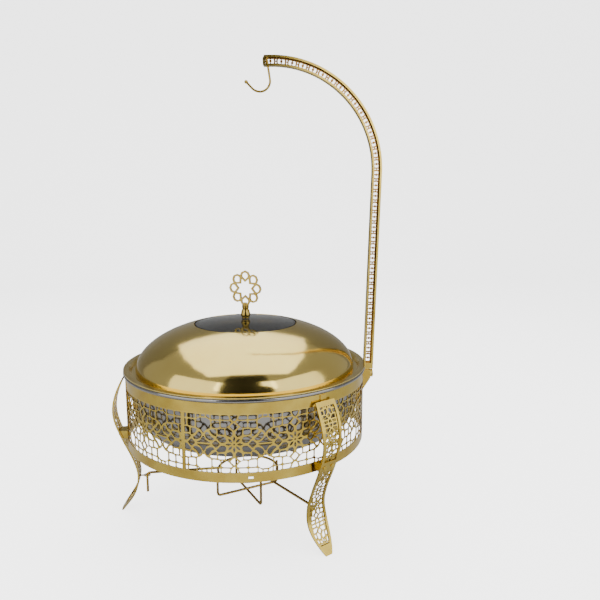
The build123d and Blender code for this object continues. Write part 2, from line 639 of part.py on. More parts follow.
def collect():
    nodes = {}
    nodes["basket_top_band"] = make_top_band()
    band = make_bottom_band() - Compound(children=at_legs(leg_screw_bores()))
    nodes["basket_bottom_band"] = band
    for i, azimuth in enumerate(LEG_AZIMUTHS, 1):
        nodes[f"filigree_panel_{i}"] = make_panel(azimuth)
    nodes["seam_strip_1"] = make_seam_strip(-120, SEAM_WIDTH)
    nodes["seam_strip_2"] = make_seam_strip(120, SEAM_WIDTH)
    strip = make_seam_strip(0, MOUNT_STRIP_WIDTH)
    for side in (-1, 1):
        strip -= rod_x(SCREW_R, BASKET_R - 20, BASKET_R + 20, side * FLANGE_SCREW_SPREAD,
                       SOCKET_TOP - FLANGE_SCREW_DROP)
    nodes["arm_mount_strip"] = strip

    frame, upper, lower = make_leg()
    bracket = make_leg_bracket(frame)
    for i, azimuth in enumerate(LEG_AZIMUTHS, 1):
        nodes[f"leg_frame_{i}"] = frame.rotate(Axis.Z, azimuth)
        nodes[f"leg_fret_upper_{i}"] = upper.rotate(Axis.Z, azimuth)
        nodes[f"leg_fret_lower_{i}"] = lower.rotate(Axis.Z, azimuth)
        nodes[f"leg_bracket_{i}"] = bracket.rotate(Axis.Z, azimuth)
    nodes["leg_top_clips"] = Compound(children=at_legs(make_leg_clip()))
    screws = [make_leg_screw(side) for side in (-1, 1)]
    nodes["leg_screws"] = Compound(children=[s for screw in screws for s in at_legs(screw)])
    nuts = [make_leg_nut(side) for side in (-1, 1)]
    nodes["leg_nuts"] = Compound(children=[s for nut in nuts for s in at_legs(nut)])
    nodes["stay_eyelets"] = Compound(children=at_legs(make_eyelet()))

    nodes["fuel_hoop"] = make_hoop()
    nodes["fuel_cross_wire_1"] = make_cross_wire(CROSS_AZIMUTHS[0], CRADLE_BOTTOM)
    nodes["fuel_cross_wire_2"] = make_cross_wire(CROSS_AZIMUTHS[1], CRADLE_BOTTOM + 2 * WIRE_R)
    for i, azimuth in enumerate(LEG_AZIMUTHS, 1):
        nodes[f"fuel_stay_{i}"] = make_stay(azimuth)

    nodes["food_pan"] = make_pan()
    nodes["lid_shell"] = make_lid_shell()
    window = make_window()
    nodes["lid_window"] = window
    nodes["window_gasket"] = make_gasket(window)
    nodes["knob_washer_top"] = washer(WINDOW_TOP)
    under = WINDOW_TOP - WINDOW_THICK - WASHER - 0.05
    nodes["knob_washer_under"] = washer(under)
    nodes["knob_screw"] = make_knob_screw(under - SEAT_GAP)
    nodes["knob_base"] = make_knob_base()
    nodes["knob_rosette"] = make_rosette()

    nodes["arm_foot"] = make_arm_foot()
    nodes["arm_outer_rail"] = lean(arm_strip(0, OUTER_RAIL, ARM_THICK, RAIL_START, ARM_END_RUN))
    inner_rail = arm_strip(ARM_WIDTH - INNER_RAIL, ARM_WIDTH, ARM_THICK, -FOOT_DEPTH, ARM_END_RUN)
    nodes["arm_inner_rail"] = lean(inner_rail)
    nodes["arm_fretwork"] = lean(arm_strip(OUTER_RAIL, ARM_WIDTH - INNER_RAIL, ARM_FRET_THICK,
                                           FOOT_COLLAR[1], ARM_END_RUN))
    hook = make_hook()
    nodes["arm_end_cap"] = make_arm_cap()
    nodes["arm_inner_rail"] -= hook
    nodes["arm_fretwork"] -= hook
    nodes["lid_hook"] = hook
    nodes["hook_ball"] = make_hook_ball()
    nodes["arm_socket"] = make_socket()
    nodes["socket_screws"] = Compound(children=[make_socket_screw(side) for side in (-1, 1)])
    nodes["socket_nuts"] = Compound(children=[make_socket_nut(side) for side in (-1, 1)])
    nodes["clamp_thumbscrew"] = make_thumbscrew()
    return nodes


os.makedirs("parts", exist_ok=True)
for name, shape in collect().items():
    export_step(shape, f"parts/{name}.step")
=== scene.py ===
from math import asin, ceil, cos, degrees, pi, radians, sin

import bmesh
import bpy
from mathutils import Matrix, Vector
from mathutils.bvhtree import BVHTree
from mathutils.geometry import delaunay_2d_cdt


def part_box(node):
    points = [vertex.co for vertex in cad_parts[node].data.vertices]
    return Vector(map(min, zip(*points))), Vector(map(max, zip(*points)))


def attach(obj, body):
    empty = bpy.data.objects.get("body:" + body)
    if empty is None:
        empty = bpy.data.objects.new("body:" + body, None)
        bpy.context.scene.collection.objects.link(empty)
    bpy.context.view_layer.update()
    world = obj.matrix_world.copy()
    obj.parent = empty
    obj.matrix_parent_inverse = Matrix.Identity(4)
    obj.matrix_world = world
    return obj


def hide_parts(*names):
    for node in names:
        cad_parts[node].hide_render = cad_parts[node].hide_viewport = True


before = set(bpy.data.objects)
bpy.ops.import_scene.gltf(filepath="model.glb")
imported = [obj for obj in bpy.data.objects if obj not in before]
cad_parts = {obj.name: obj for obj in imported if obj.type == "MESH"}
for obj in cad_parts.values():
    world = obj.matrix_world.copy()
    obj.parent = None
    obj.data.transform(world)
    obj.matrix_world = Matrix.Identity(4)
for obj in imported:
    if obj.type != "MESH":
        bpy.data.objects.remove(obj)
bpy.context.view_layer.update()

# ---------------------------------------------------------------- basket ring, bands and seams
# Thin sheet steel rolled into a hoop and plated bright yellow gold. Two plain bands close the
# openwork above and below, and narrow strips are spot-welded over the seams.

# Metres, with +Z up, the dish on the Z axis and the arm at +X. Listed lengths are times MM.
MM = 0.001
GOLD_BRIGHT = (0.66, 0.49, 0.10, 1)
GOLD_DEEP = (0.40, 0.23, 0.03, 1)
# Brighter gold laid along every edge: rubbed plating, and also a painted highlight where cut edges would
# catch the light.
GOLD_WEAR_AND_HIGHLIGHT = (0.88, 0.68, 0.24, 1)


def shader_group(name, inputs, outputs):
    """Shader node group with named sockets. Gives the tree and its two end nodes."""
    tree = bpy.data.node_groups.new(name, "ShaderNodeTree")
    for label, kind, value in inputs:
        socket = tree.interface.new_socket(label, in_out="INPUT", socket_type=kind)
        socket.default_value = value
    for label, kind in outputs:
        tree.interface.new_socket(label, in_out="OUTPUT", socket_type=kind)
    return tree, tree.nodes.new("NodeGroupInput"), tree.nodes.new("NodeGroupOutput")


def add_node(tree, kind, settings=None, **sockets):
    """Shader node with its settings made and its inputs set or linked, by name or as i and a number."""
    node = tree.nodes.new(kind)
    for key, value in (settings or {}).items():
        setattr(node, key, value)
    for label, value in sockets.items():
        numbered = label[0] == "i" and label[1:].isdigit()
        socket = node.inputs[int(label[1:]) if numbered else label.replace("_", " ")]
        if isinstance(value, bpy.types.NodeSocket):
            tree.links.new(value, socket)
        else:
            socket.default_value = value
    return node


def make_plating_group():
    """Tone, gloss and fine relief of a plated and polished metal skin, brighter along its edges as rubbing
    and a painted highlight.
    """
    tree, given, made = shader_group(
        "plated_skin",
        [("Bright", "NodeSocketColor", GOLD_BRIGHT), ("Deep", "NodeSocketColor", GOLD_DEEP),
         ("Wear and highlight", "NodeSocketColor", GOLD_WEAR_AND_HIGHLIGHT), ("Cloud size", "NodeSocketFloat", 28.0),
         ("Clouding", "NodeSocketFloat", 0.6), ("Gloss", "NodeSocketFloat", 0.12),
         ("Haze", "NodeSocketFloat", 0.10), ("Rub width", "NodeSocketFloat", 0.0006)],
        [("Color", "NodeSocketColor"), ("Roughness", "NodeSocketFloat"), ("Height", "NodeSocketFloat")])
    place = add_node(tree, "ShaderNodeTexCoord").outputs["Object"]
    cloud = add_node(tree, "ShaderNodeTexNoise", Vector=place, Scale=given.outputs["Cloud size"],
                     Detail=4.0, Roughness=0.55)
    grain = add_node(tree, "ShaderNodeTexNoise", Vector=place, Scale=1400.0, Detail=2.0)
    spread = add_node(tree, "ShaderNodeMapRange", Value=cloud.outputs["Fac"], From_Min=0.35, From_Max=0.7,
                      To_Min=0.0, To_Max=given.outputs["Clouding"])
    body = add_node(tree, "ShaderNodeMix", {"data_type": "RGBA"}, i0=spread.outputs["Result"],
                    i6=given.outputs["Bright"], i7=given.outputs["Deep"])
    # Edges found from the bevel normal turn to the brighter edge colour: rubbed plating and a painted
    # highlight along every edge.
    soft = add_node(tree, "ShaderNodeBevel", {"samples": 4}, Radius=given.outputs["Rub width"])
    true = add_node(tree, "ShaderNodeNewGeometry")
    turn = add_node(tree, "ShaderNodeVectorMath", {"operation": "DOT_PRODUCT"}, i0=soft.outputs["Normal"],
                    i1=true.outputs["Normal"])
    edge = add_node(tree, "ShaderNodeMapRange", Value=turn.outputs["Value"], From_Min=0.99, From_Max=0.85,
                    To_Min=0.0, To_Max=0.7)
    wear_and_highlight_mix = add_node(tree, "ShaderNodeMix", {"data_type": "RGBA"}, i0=edge.outputs["Result"],
                    i6=body.outputs[2], i7=given.outputs["Wear and highlight"])
    haze = add_node(tree, "ShaderNodeMath", {"operation": "MULTIPLY_ADD"}, i0=cloud.outputs["Fac"],
                    i1=given.outputs["Haze"], i2=given.outputs["Gloss"])
    tree.links.new(wear_and_highlight_mix.outputs[2], made.inputs["Color"])
    tree.links.new(haze.outputs["Value"], made.inputs["Roughness"])
    tree.links.new(grain.outputs["Fac"], made.inputs["Height"])
    return tree


plated_skin = make_plating_group()


def new_finish(name):
    """Empty material, its node tree and its shader."""
    finish = bpy.data.materials.new(name)
    finish.use_nodes = True
    return finish, finish.node_tree, finish.node_tree.nodes["Principled BSDF"]


def plated_metal(name, bright, deep, wear_and_highlight, relief=0.02, **skin):
    """Plated metal: a clouded, softly hazed skin, brighter along its edges as rubbing and a painted
    highlight.
    """
    metal, tree, shader = new_finish(name)
    shader.inputs["Metallic"].default_value = 1.0
    group = tree.nodes.new("ShaderNodeGroup")
    group.node_tree = plated_skin
    values = {"Bright": bright, "Deep": deep, "Wear and highlight": wear_and_highlight}
    values.update({key.replace("_", " "): value for key, value in skin.items()})
    for label, value in values.items():
        group.inputs[label].default_value = value
    bump = add_node(tree, "ShaderNodeBump", Height=group.outputs["Height"], Strength=relief, Distance=0.0002)
    tree.links.new(group.outputs["Color"], shader.inputs["Base Color"])
    tree.links.new(group.outputs["Roughness"], shader.inputs["Roughness"])
    tree.links.new(bump.outputs["Normal"], shader.inputs["Normal"])
    return metal


def finish_nodes(metal, *names):
    """Gives CAD nodes their finish."""
    for name in names:
        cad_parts[name].data.materials.clear()
        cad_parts[name].data.materials.append(metal)


stand_gold = plated_metal("stand_gold", GOLD_BRIGHT, GOLD_DEEP, GOLD_WEAR_AND_HIGHLIGHT)
finish_nodes(stand_gold, "basket_top_band", "basket_bottom_band", "seam_strip_1", "seam_strip_2",
             "arm_mount_strip")

# ---------------------------------------------------------------- openwork panels
# The wall of the basket is cut from flat sheet by laser: rows of eight-petalled rosettes joined
# by diamonds and short bars, with curls and square cells filling in. Each panel is then rolled
# to the ring and welded between the bands, and the pattern simply ends at the seams.

LEG_AZIMUTHS = (-60, 60, 180)
PANEL_SWEEP = 120
ROSETTE_PITCH = 25          # degrees round the ring
FIRST_ROSETTE = 21.5        # degrees from a panel's first seam
SHEET = 1.5 * MM
CUT_STEP = 2.5              # longest straight piece along a cut edge, millimetres
HALF_HEIGHT = 40.25

# One quarter of the cut holes round a rosette, in millimetres right of and above its centre.
LEAF = [(10.2, 4.6), (12.0, 9.8), (21.0, 11.0), (23.2, 8.5), (17.4, 2.3), (12.8, 2.3)]
DIAMOND = [(18.7, 0), (24, 5.1), (29.3, 0), (24, -5.1)]
CELLS = [
    LEAF,
    [(v, u) for u, v in LEAF[::-1]],
    DIAMOND,
    [(v, u) for u, v in DIAMOND[::-1]],
    [(12.7, 13.2), (21.2, 13.2), (21.2, 20.8), (12.7, 20.8)],
    [(23.4, 10.6), (26.2, 11.6), (29.8, 14.2), (32.0, 18.4), (29.0, 19.6), (23.4, 19.6)],
    [(26.4, 7.2), (30.6, 9.8), (34.2, 15.2), (36.6, 15.6), (38.6, 12.0), (37.0, 7.8), (32.4, 4.9),
     (28.2, 4.9)],
    [(31.6, 1.3), (37.2, 4.3), (40.0, 9.6), (41.7, 9.6), (44.5, 4.3), (50.1, 1.3)],
    [(7.0, 25.6), (10.4, 23.0), (16.9, 23.0), (16.9, 31.6), (4.6, 31.6), (3.2, 30.2)],
    [(5.6, 33.7), (16.9, 33.7), (16.9, 39.2), (7.6, 39.2)],
    [(-5.0, 39.2), (5.0, 39.2), (3.2, 34.2), (0, 31.4), (-3.2, 34.2)],
    [(19.0, 22.8), (29.0, 21.9), (29.0, 31.6), (19.0, 31.6)],
    [(19.0, 33.7), (29.8, 33.7), (29.8, 39.2), (19.0, 39.2)],
    [(31.2, 21.4), (34.6, 20.2), (37.8, 18.6), (39.8, 15.8), (40.86, 14.4), (41.9, 15.8), (43.9, 18.6),
     (47.1, 20.2), (50.5, 21.4), (50.5, 31.4), (45.9, 34.6), (35.8, 34.6), (31.2, 31.4)],
    [(31.9, 34.2), (36.2, 37.0), (36.2, 39.2), (31.9, 39.2)],
    [(38.4, 36.9), (43.3, 36.9), (43.3, 39.2), (38.4, 39.2)],
]
PETALS = 8
PETAL_FROM, PETAL_TO, PETAL_HALF = 3.3, 11.4, 1.65
EYE_R = 1.4
KERF = 0.45                 # the cutter opens each hole by this much all round


def anticlockwise(outline):
    """The outline, turned round if it runs clockwise."""
    turn = sum(a[0] * b[1] - a[1] * b[0] for a, b in zip(outline, outline[1:] + outline[:1]))
    return outline if turn > 0 else outline[::-1]


def opened(outline, by=KERF):
    """Closed outline with every side moved out."""
    outline = anticlockwise(outline)
    sides = [Vector((b[1] - a[1], a[0] - b[0])).normalized()
             for a, b in zip(outline, outline[1:] + outline[:1])]
    moves = [(n + m) * (by / (1 + n.dot(m))) for n, m in zip([sides[-1]] + sides[:-1], sides)]
    return [(p[0] + move.x, p[1] + move.y) for p, move in zip(outline, moves)]


def rounded(outline, rounds=2, cut=0.15):
    """Closed outline with its corners cut back and cut again, as a laser leaves them."""
    for _ in range(rounds):
        outline = [p for a, b in zip(outline, outline[1:] + outline[:1])
                   for p in ((a[0] + cut * (b[0] - a[0]), a[1] + cut * (b[1] - a[1])),
                             (b[0] + cut * (a[0] - b[0]), b[1] + cut * (a[1] - b[1])))]
    return outline


def rosette_holes(kerf=KERF):
    """Every hole round one rosette: its eye, its petals and the four mirrored quarters."""
    holes = [[(EYE_R * cos(t), EYE_R * sin(t)) for t in (2 * pi * i / 10 for i in range(10))]]
    lens = [(PETAL_FROM + (PETAL_TO - PETAL_FROM) * t, PETAL_HALF * sin(pi * t) * side)
            for side, steps in ((1, range(6)), (-1, range(6, 0, -1))) for t in (i / 6 for i in steps)]
    for i in range(PETALS):
        c, s = cos(2 * pi * i / PETALS), sin(2 * pi * i / PETALS)
        holes.append([(r * c - w * s, r * s + w * c) for r, w in lens])
    for cell in CELLS:
        for across, up in ((1, 1), (-1, 1), (1, -1), (-1, -1)):
            holes.append([(across * u, up * v) for u, v in rounded(opened(cell, kerf))])
    return holes


def repeated(holes, places):
    """The holes at every place, each kept once where mirrored or neighbouring ones coincide."""
    found = {}
    for du, dv in places:
        for hole in holes:
            moved = [(u + du, v + dv) for u, v in hole]
            middle = tuple(round(sum(p[i] for p in moved) / len(moved), 0) for i in (0, 1))
            found.setdefault((middle, len(moved)), moved)
    return list(found.values())


def stepped(outline, step=CUT_STEP):
    """Closed outline with points no further apart than a step."""
    dense = []
    for a, b in zip(outline, outline[1:] + outline[:1]):
        count = max(1, ceil(((a[0] - b[0]) ** 2 + (a[1] - b[1]) ** 2) ** 0.5 / step))
        dense += [(a[0] + (b[0] - a[0]) * i / count, a[1] + (b[1] - a[1]) * i / count)
                  for i in range(count)]
    return dense


def cut_flat(border, holes):
    """Flat sheet inside a border, less its holes, as points and triangles. The border is outline 0."""
    loops, points = [], []
    for outline in [border, *holes]:
        outline = stepped(anticlockwise(outline))
        loops.append(list(range(len(points), len(points) + len(outline))))
        points += [Vector(p) for p in outline]
    corners, _, triangles, _, _, owners = delaunay_2d_cdt(points, [], loops, 1, 1e-5)
    kept = [list(t) for t, owner in zip(triangles, owners) if list(owner) == [0]]
    return corners, kept


def formed_sheet(name, flat, form):
    """Mesh of a cut sheet bent to shape. form(u, v, face) gives the point on face 0 or 1."""
    corners, triangles = flat
    used = sorted({i for t in triangles for i in t})
    order = {i: k for k, i in enumerate(used)}
    count = len(used)
    triangles = [[order[i] for i in t] for t in triangles]
    points = [form(*corners[i], face) for face in (0, 1) for i in used]
    edges = {(t[i], t[(i + 1) % len(t)]) for t in triangles for i in range(len(t))}
    walls = [(a, a + count, b + count, b) for a, b in sorted(edges) if (b, a) not in edges]
    faces = triangles + [[i + count for i in reversed(t)] for t in triangles] + walls
    mesh = bpy.data.meshes.new(name)
    mesh.from_pydata(points, [], faces)
    work = bmesh.new()
    work.from_mesh(mesh)
    bmesh.ops.recalc_face_normals(work, faces=work.faces)
    work.to_mesh(mesh)
    work.free()
    mesh.shade_smooth()
    mesh.set_sharp_from_angle(angle=radians(35))
    return mesh


def stand_in(name, mesh, metal, body, slot, *replaced):
    """Piece that rides on a body and stands for CAD nodes."""
    mesh.materials.append(metal)
    piece = bpy.data.objects.new(name, mesh)
    bpy.context.scene.collection.objects.link(piece)
    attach(piece, body)
    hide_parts(*replaced)
    return piece


ring_low, ring_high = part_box("basket_top_band")
RING_R = (ring_high.x - ring_low.x) / 2
ARC_MM = radians(1) * RING_R / MM       # millimetres of ring per degree
openwork_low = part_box("filigree_panel_3")[0].z
openwork_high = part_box("filigree_panel_3")[1].z
OPENWORK_MIDDLE = (openwork_low + openwork_high) / 2
rosette = rosette_holes()


def seam_half(azimuth):
    """Half of the seam strip's width there, in degrees."""
    strip = {0: "arm_mount_strip", 120: "seam_strip_2", 240: "seam_strip_1"}[azimuth % 360]
    back = Matrix.Rotation(-radians(azimuth), 2)
    reach = max(abs((back @ v.co.xy).y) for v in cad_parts[strip].data.vertices)
    return degrees(asin(reach / RING_R))


for number, leg_azimuth in enumerate(LEG_AZIMUTHS, 1):
    first = leg_azimuth - PANEL_SWEEP / 2
    start, end = seam_half(first) * ARC_MM, (PANEL_SWEEP - seam_half(first + PANEL_SWEEP)) * ARC_MM
    rise = (openwork_high - openwork_low) / 2 / MM
    places = [((FIRST_ROSETTE + ROSETTE_PITCH * i) * ARC_MM, 0) for i in range(-1, 5)]
    flat = cut_flat([(start, -rise), (end, -rise), (end, rise), (start, rise)], repeated(rosette, places))

    def rolled(u, v, face):
        azimuth = radians(first + u / ARC_MM)
        r = RING_R - SHEET * face
        return (r * cos(azimuth), r * sin(azimuth), OPENWORK_MIDDLE + v * MM)

    panel = formed_sheet(f"openwork_panel_{number}", flat, rolled)
    stand_in(f"openwork_panel_{number}", panel, stand_gold, "stand", "plated_gold",
             f"filigree_panel_{number}")

# ---------------------------------------------------------------- legs
# Each leg is a pressed steel strap bent to an S, with a plain rim round two openings that hold the
# same cut scrollwork at a smaller size. Two gilt screws with zinc-plated nuts fix it through a
# spacer at the ring's lower edge, and a small clip holds its top.

LEG_SCALE = 0.62            # of the basket's pattern
LEG_KERF = 0.0              # its bars are left wider in proportion
ROSETTE_HEIGHTS = (62, 168)     # millimetres above the table, lower and upper opening
RIM_GRIP = 0.05             # the scrollwork stops this far inside the opening, millimetres
ROW_STEP = 4                # millimetres between heights where the opening's width is found

finish_nodes(stand_gold, *[f"leg_frame_{i}" for i in (1, 2, 3)], *[f"leg_bracket_{i}" for i in (1, 2, 3)],
             "leg_top_clips", "stay_eyelets")


def local_tree(node, azimuth):
    """Search tree of a CAD node turned so that its leg stands at +X."""
    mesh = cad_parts[node].data
    turned = [Matrix.Rotation(-radians(azimuth), 3, "Z") @ v.co for v in mesh.vertices]
    return BVHTree.FromPolygons(turned, [tuple(p.vertices) for p in mesh.polygons])


def leg_surface(tree, across, height, face):
    """Point on the front (0) or back (1) face of a leg's filling, or None off its edge."""
    start, way = ((0.3, -1), (0.0, 1))[face]
    return tree.ray_cast(Vector((start, across, height)), Vector((way, 0, 0)))[0]


def leg_half_width(tree, height):
    """Half width of the filling at a height, found by halving."""
    near, far = 0.0, 0.03
    for _ in range(14):
        middle = (near + far) / 2
        if leg_surface(tree, middle, height, 0) is None:
            far = middle
        else:
            near = middle
    return near


def make_leg_fillings():
    """Both fillings of one leg, standing at +X: (part, mesh)."""
    fillings = []
    for part, middle in zip(("lower", "upper"), ROSETTE_HEIGHTS):
        node = f"leg_fret_{part}_3"
        tree = local_tree(node, LEG_AZIMUTHS[2])
        low, high = (corner.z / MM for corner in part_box(node))
        steps = max(2, round((high - low) / ROW_STEP))
        heights = [low + 0.1 + (high - low - 0.2) * i / steps for i in range(steps + 1)]
        edge = [(leg_half_width(tree, h * MM) / MM - RIM_GRIP, h - middle) for h in heights]
        border = edge + [(-half, h) for half, h in reversed(edge)]
        small = [[(u * LEG_SCALE, v * LEG_SCALE) for u, v in hole] for hole in rosette_holes(LEG_KERF)]
        rows = [(0, 2 * HALF_HEIGHT * LEG_SCALE * i) for i in (-2, -1, 0, 1, 2)]
        flat = cut_flat(border, repeated(small, rows))

        def pressed(u, v, face):
            point = leg_surface(tree, u * MM, (v + middle) * MM, face)
            start = Vector((0.3 if face == 0 else 0.1, u * MM, (v + middle) * MM))
            return point or tree.find_nearest(start)[0]

        fillings.append((part, formed_sheet(f"leg_filling_{part}", flat, pressed)))
    return fillings


for part, filling in make_leg_fillings():
    for number, leg_azimuth in enumerate(LEG_AZIMUTHS, 1):
        placed = filling.copy()
        placed.transform(Matrix.Rotation(radians(leg_azimuth), 4, "Z"))
        stand_in(f"leg_scrollwork_{part}_{number}", placed, stand_gold, "stand", "plated_gold",
                 f"leg_fret_{part}_{number}")

# The third tone is the brighter edge colour: rubbed zinc and a painted edge highlight.
ZINC = ((0.72, 0.73, 0.74, 1), (0.52, 0.53, 0.55, 1), (0.86, 0.86, 0.87, 1))
fastener_steel = plated_metal("fastener_steel", *ZINC, Gloss=0.22, Haze=0.15, Cloud_size=160.0)
gilt_screw = plated_metal("gilt_screw", GOLD_BRIGHT, GOLD_DEEP, GOLD_WEAR_AND_HIGHLIGHT, Gloss=0.2, Cloud_size=120.0)
finish_nodes(gilt_screw, "leg_screws", "socket_screws")
finish_nodes(fastener_steel, "leg_nuts", "socket_nuts")

# ---------------------------------------------------------------- fuel cradle
# Bent and welded round steel wire: a hoop, two crossed wires that carry the can, and three stays
# that hook down through eyelets on the legs. Its plating is thinner, and so darker and browner.

wire_bronze = plated_metal("wire_bronze", (0.62, 0.42, 0.12, 1), (0.38, 0.22, 0.05, 1),
                           (0.80, 0.60, 0.22, 1), Gloss=0.16, Cloud_size=60.0)
finish_nodes(wire_bronze, "fuel_hoop", "fuel_cross_wire_1", "fuel_cross_wire_2",
             *[f"fuel_stay_{i}" for i in (1, 2, 3)])

# ---------------------------------------------------------------- food pan
# Deep-drawn stainless steel, polished inside and out on a lathe, so that fine rings run round it.
# The rolled rim rests on the ring's top edge and takes the lid's lip.

STEEL_TONES = ((0.38, 0.37, 0.355, 1), (0.24, 0.235, 0.225, 1))


def make_polished_steel():
    """Stainless steel with faint rings left by polishing on a lathe."""
    metal, tree, shader = new_finish("pan_steel")
    shader.inputs["Metallic"].default_value = 1.0
    spot = add_node(tree, "ShaderNodeTexCoord").outputs["Object"]
    place = add_node(tree, "ShaderNodeSeparateXYZ", Vector=spot)
    flat = add_node(tree, "ShaderNodeCombineXYZ", X=place.outputs["X"], Y=place.outputs["Y"])
    radius = add_node(tree, "ShaderNodeVectorMath", {"operation": "LENGTH"}, i0=flat.outputs["Vector"])
    lathe = add_node(tree, "ShaderNodeCombineXYZ", X=radius.outputs["Value"], Z=place.outputs["Z"])
    rings = add_node(tree, "ShaderNodeTexNoise", Vector=lathe.outputs["Vector"], Scale=900.0, Detail=3.0)
    broad = add_node(tree, "ShaderNodeTexNoise", Vector=lathe.outputs["Vector"], Scale=60.0, Detail=2.0)
    tone = add_node(tree, "ShaderNodeMix", {"data_type": "RGBA"}, i0=broad.outputs["Fac"], i6=STEEL_TONES[0],
                    i7=STEEL_TONES[1])
    gloss = add_node(tree, "ShaderNodeMapRange", Value=rings.outputs["Fac"], To_Min=0.10, To_Max=0.24)
    bump = add_node(tree, "ShaderNodeBump", Height=rings.outputs["Fac"], Strength=0.03, Distance=0.0002)
    tree.links.new(tone.outputs[2], shader.inputs["Base Color"])
    tree.links.new(gloss.outputs["Result"], shader.inputs["Roughness"])
    tree.links.new(bump.outputs["Normal"], shader.inputs["Normal"])
    return metal


finish_nodes(make_polished_steel(), "food_pan")

# ---------------------------------------------------------------- lid shell
# One spun steel dome, mirror polished and plated in pale champagne gold, with a flat lip, a
# groove inside the lip and a stepped seat for the window.

lid_gold = plated_metal("lid_gold", (0.80, 0.62, 0.19, 1), (0.62, 0.43, 0.10, 1), (0.94, 0.80, 0.42, 1),
                        relief=0.002, Gloss=0.08, Haze=0.10, Cloud_size=9.0, Clouding=0.5)
finish_nodes(lid_gold, "lid_shell")

# ---------------------------------------------------------------- window and gasket
# A crowned disc of smoke-grey tempered glass, set on a black rubber ring and held by the knob.


def make_smoked_glass():
    """Grey tempered glass with a faint uneven film."""
    glass, tree, shader = new_finish("smoked_glass")
    shader.inputs["Transmission Weight"].default_value = 1.0
    shader.inputs["IOR"].default_value = 1.5
    place = add_node(tree, "ShaderNodeTexCoord").outputs["Object"]
    cloud = add_node(tree, "ShaderNodeTexNoise", Vector=place, Scale=22.0, Detail=3.0)
    tone = add_node(tree, "ShaderNodeMix", {"data_type": "RGBA"}, i0=cloud.outputs["Fac"],
                    i6=(0.62, 0.63, 0.61, 1), i7=(0.54, 0.55, 0.53, 1))
    smear = add_node(tree, "ShaderNodeMapRange", Value=cloud.outputs["Fac"], To_Min=0.0, To_Max=0.05)
    tree.links.new(tone.outputs[2], shader.inputs["Base Color"])
    tree.links.new(smear.outputs["Result"], shader.inputs["Roughness"])
    return glass


def make_rubber():
    """Black rubber with a dusty bloom."""
    rubber, tree, shader = new_finish("black_rubber")
    place = add_node(tree, "ShaderNodeTexCoord").outputs["Object"]
    bloom = add_node(tree, "ShaderNodeTexNoise", Vector=place, Scale=240.0, Detail=4.0)
    tone = add_node(tree, "ShaderNodeMix", {"data_type": "RGBA"}, i0=bloom.outputs["Fac"],
                    i6=(0.012, 0.012, 0.013, 1), i7=(0.04, 0.04, 0.042, 1))
    matt = add_node(tree, "ShaderNodeMapRange", Value=bloom.outputs["Fac"], To_Min=0.5, To_Max=0.8)
    bump = add_node(tree, "ShaderNodeBump", Height=bloom.outputs["Fac"], Strength=0.1, Distance=0.0002)
    tree.links.new(tone.outputs[2], shader.inputs["Base Color"])
    tree.links.new(matt.outputs["Result"], shader.inputs["Roughness"])
    tree.links.new(bump.outputs["Normal"], shader.inputs["Normal"])
    return rubber


finish_nodes(make_smoked_glass(), "lid_window")
finish_nodes(make_rubber(), "window_gasket", "knob_washer_top", "knob_washer_under")

# ---------------------------------------------------------------- knob
# A small turned foot with a ringed neck, and a flat cut rosette let into it edge on. A screw
# from under the glass holds both down, and the knob can be turned on it.

# Its brighter edge colour, rubbed plating and a painted edge highlight, runs along a narrower width.
knob_gold = plated_metal("knob_gold", (0.46, 0.33, 0.08, 1), (0.28, 0.17, 0.03, 1), (0.78, 0.60, 0.22, 1),
                         Gloss=0.14, Cloud_size=140.0, Rub_width=0.0003)
finish_nodes(knob_gold, "knob_base", "knob_rosette")
finish_nodes(fastener_steel, "knob_screw")

# ---------------------------------------------------------------- arm
# Two plain flat rails bent to the arm's curve hold a thin cut strip on edge between them. A foot
# block joins them at the bottom, and a rounded cap closes the top and grips the hook.

ARM_LEAN = radians(1.6)
ARM_STRAIGHT = 319.5        # millimetres from the socket's mouth to where the arch starts
ARCH_R = 166.5              # outer radius of the arch
ARCH_SWEEP = radians(90 + 1.6 + 3.5)
ARM_BASE = ring_high.x / MM + 22.2
OUTER_RAIL, INNER_RAIL, ARM_WIDTH = 3.2, 2.4, 15.3
STRIP_START, STRIP_END_RUN = 11.0, 8.0     # above the socket's mouth, and past the arch
STRIP_THICK = 1.2
CELL_PITCH = 16.5

finish_nodes(stand_gold, "arm_foot", "arm_outer_rail", "arm_inner_rail", "arm_end_cap")


def arm_cells(half):
    """Holes of one length of the strip: a boss tied across two windows, then a pair of small slots."""
    outer, inner = half - 2.1, half - 1.5
    window = [(-5.2, -inner), (-0.8, -inner), (-0.8, -2.0), (-2.0, -1.0), (-2.0, 1.0), (-0.8, 2.0),
              (-0.8, outer), (-5.2, outer)]
    slots = [[(7.6, 0.7), (9.0, 0.7), (9.0, outer), (7.6, outer)],
             [(7.6, -inner), (9.0, -inner), (9.0, -0.9), (7.6, -0.9)]]
    return [rounded(outline, 1) for outline in (window, [(-s, w) for s, w in window], *slots)]


